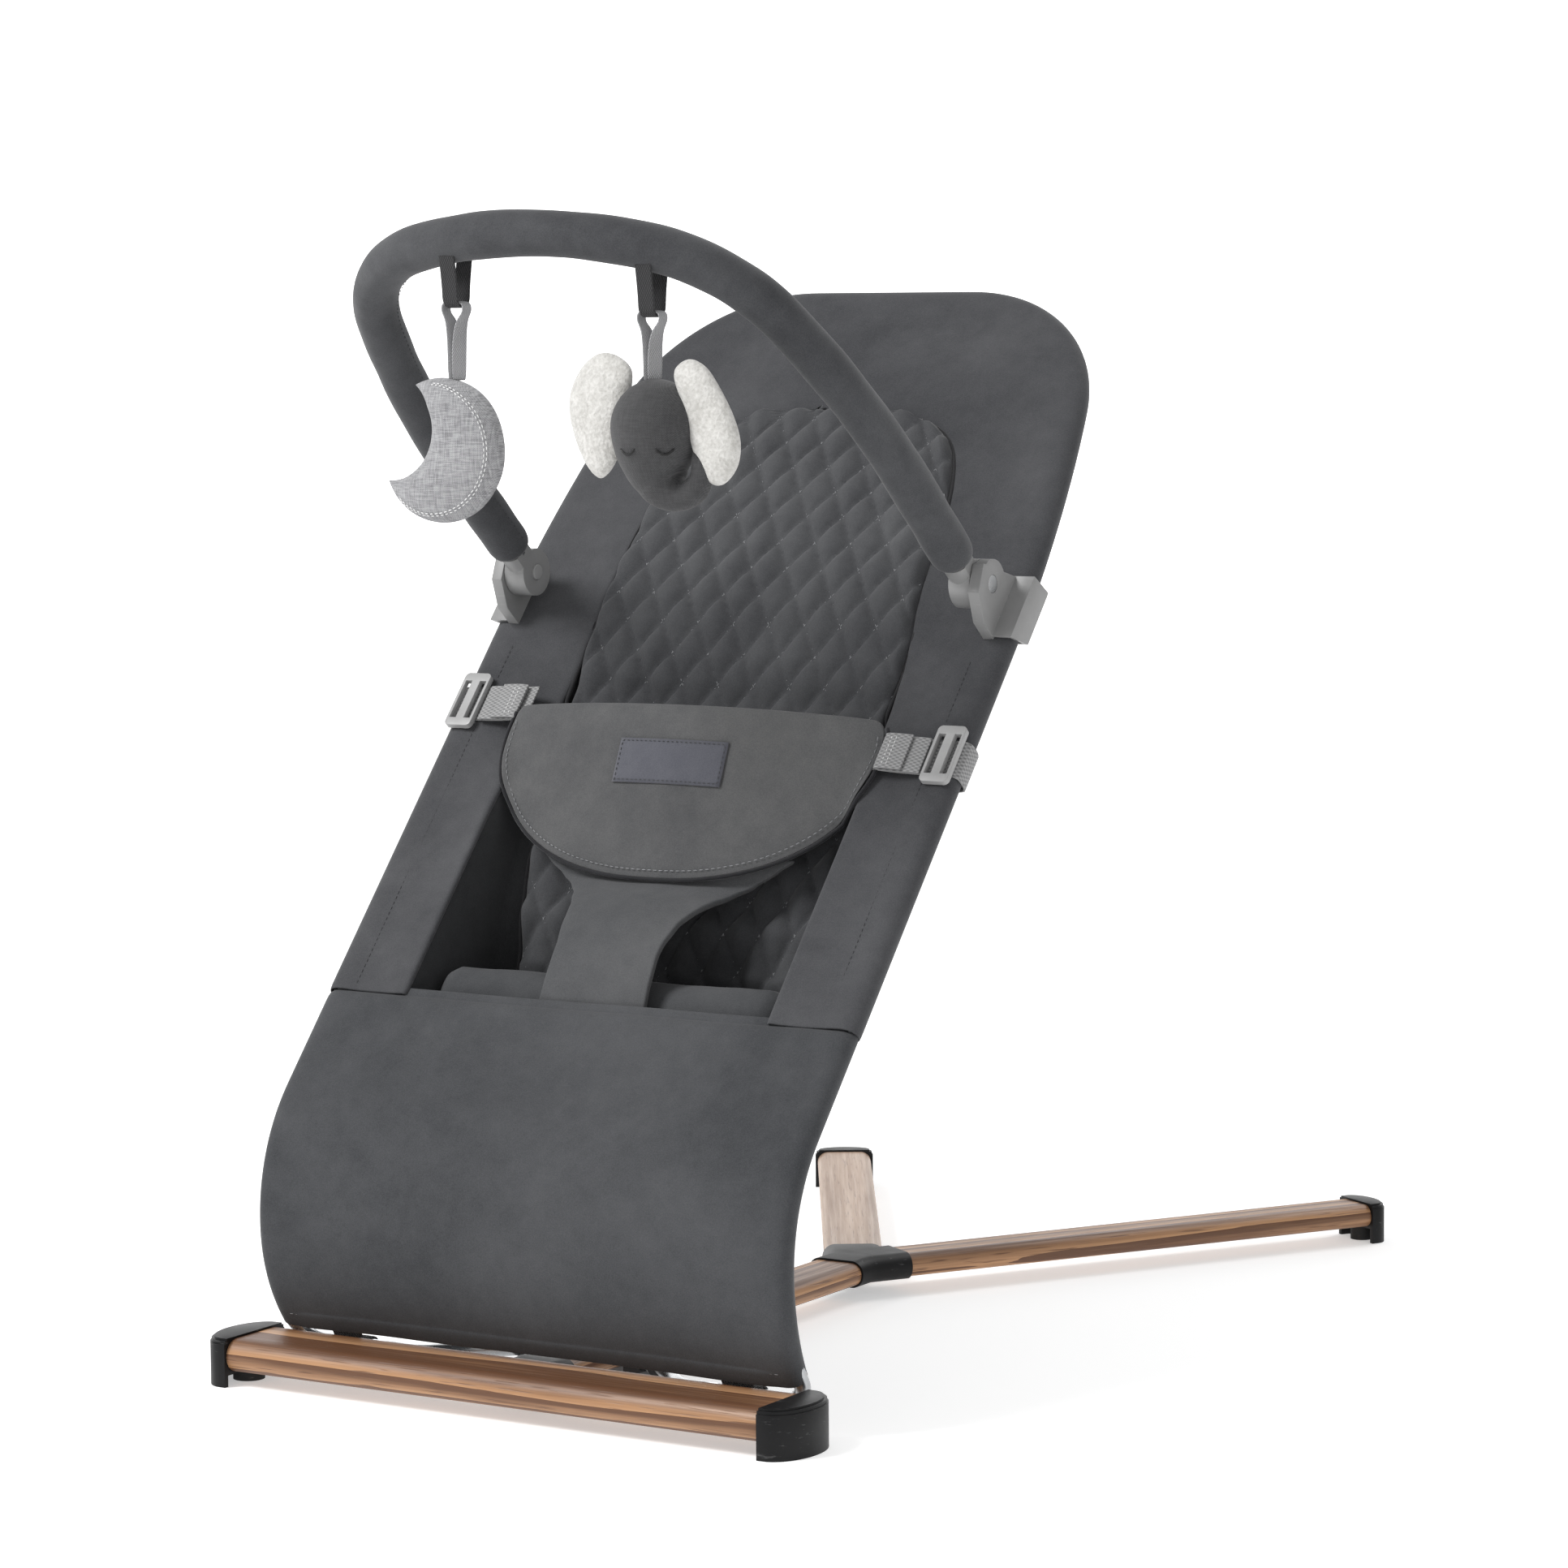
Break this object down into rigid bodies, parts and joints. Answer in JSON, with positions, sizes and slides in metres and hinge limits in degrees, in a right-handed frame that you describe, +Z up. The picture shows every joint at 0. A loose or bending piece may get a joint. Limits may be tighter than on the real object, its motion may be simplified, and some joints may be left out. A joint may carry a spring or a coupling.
{
  "type": "bouncer seat",
  "caption": "Baby bouncer: sling seat on a sprung steel hoop over a Y-shaped wooden base, with a belt and a hinged toy bar",
  "frame": {"origin": "on the floor under the middle of the base", "axes": "+Z up, +Y from the front crossbar to the back, X across the seat"},
  "size_m": [0.4202, 0.7182, 0.6503],
  "materials": {
    "wood": "satin walnut-toned wood",
    "black_plastic": "satin black moulding",
    "grey_plastic": "satin grey moulding",
    "light_plastic": "light grey moulding",
    "rubber": "matt rubber",
    "steel": "bright plated steel",
    "charcoal_fabric": "brushed woven fabric",
    "quilted_fabric": "diamond-quilted woven fabric",
    "black_webbing": "black woven tape",
    "grey_webbing": "ribbed grey webbing",
    "linen": "heather linen weave",
    "plush": "off-white plush",
    "toy_cloth": "plain dark grey cloth",
    "label": "plain woven label"
  },
  "bodies": {
    "base": {"front_crossbar": "wood", "front_foot_left": "black_plastic", "front_foot_right": "black_plastic", "foot_pads": "rubber", "front_joint": "black_plastic", "centre_beam": "wood", "rear_joint": "black_plastic", "rear_leg_left": "wood", "rear_leg_right": "wood", "rear_foot_left": "black_plastic", "rear_foot_right": "black_plastic", "base_screws": "steel", "recline_block": "grey_plastic", "recline_axle": "steel", "axle_nut": "steel", "detent_balls": "steel"},
    "recline_arms": {"recline_cheek_left": "grey_plastic", "recline_cheek_right": "grey_plastic", "spring_arm_left": "steel", "spring_arm_right": "steel"},
    "seat": {"side_rail_left": "steel", "side_rail_right": "steel", "head_hoop": "steel", "rail_joiner_left": "steel", "rail_joiner_right": "steel", "back_cover": "charcoal_fabric", "side_wing_left": "charcoal_fabric", "side_wing_right": "charcoal_fabric", "seat_pocket": "charcoal_fabric", "quilted_pad": "quilted_fabric", "seat_cushion": "charcoal_fabric", "front_apron": "charcoal_fabric", "elastic_left": "black_webbing", "elastic_right": "black_webbing", "belt_bib": "charcoal_fabric", "bib_backing": "charcoal_fabric", "crotch_strap": "charcoal_fabric", "label_patch": "label", "webbing_left": "grey_webbing", "webbing_right": "grey_webbing", "buckle_left": "light_plastic", "buckle_right": "light_plastic", "bar_clamp_left": "grey_plastic", "bar_clamp_right": "grey_plastic", "pivot_screws": "steel"},
    "toy_bar": {"toy_bar_tube": "black_plastic", "toy_bar_sleeve": "charcoal_fabric", "bar_hub_left": "grey_plastic", "bar_hub_right": "grey_plastic", "moon_loop": "black_webbing", "elephant_loop": "black_webbing"},
    "button_left": {"bar_button_left": "grey_plastic"},
    "button_right": {"bar_button_right": "grey_plastic"},
    "moon": {"moon_strap": "linen", "moon_toy": "linen"},
    "elephant": {"elephant_strap": "linen", "elephant_head": "toy_cloth", "elephant_trunk": "toy_cloth", "elephant_ear_left": "plush", "elephant_ear_right": "plush"}
  },
  "joints": [
    {"name": "recline", "type": "hinge", "parent": "base", "child": "recline_arms", "pos_m": [0, -0.23164, 0.01691], "axis": [1, 0, 0], "range_deg": [-48, 0]},
    {"name": "bounce", "type": "hinge", "parent": "recline_arms", "child": "seat", "pos_m": [0, -0.29456, 0.01691], "axis": [1, 0, 0], "range_deg": [-5, 3], "stiffness_Nm_per_rad": 160, "springref_deg": 0.92},
    {"name": "toy_bar_swing", "type": "hinge", "parent": "seat", "child": "toy_bar", "pos_m": [0, -0.08581, 0.44138], "axis": [1, 0, 0], "range_deg": [-25, 55]},
    {"name": "bar_button_left_press", "type": "slide", "parent": "toy_bar", "child": "button_left", "axis": [-1, 0, 0], "range_m": [0, 0.0012], "stiffness_N_per_m": 900, "springref_m": -0.001},
    {"name": "bar_button_right_press", "type": "slide", "parent": "toy_bar", "child": "button_right", "axis": [1, 0, 0], "range_m": [0, 0.0012], "stiffness_N_per_m": 900, "springref_m": -0.001},
    {"name": "moon_swing", "type": "hinge", "parent": "toy_bar", "child": "moon", "pos_m": [-0.044, -0.3051, 0.60371], "axis": [1, 0, 0], "range_deg": [-55, 30]},
    {"name": "elephant_swing", "type": "hinge", "parent": "toy_bar", "child": "elephant", "pos_m": [0.078, -0.29866, 0.59804], "axis": [1, 0, 0], "range_deg": [-55, 30]}
  ]
}
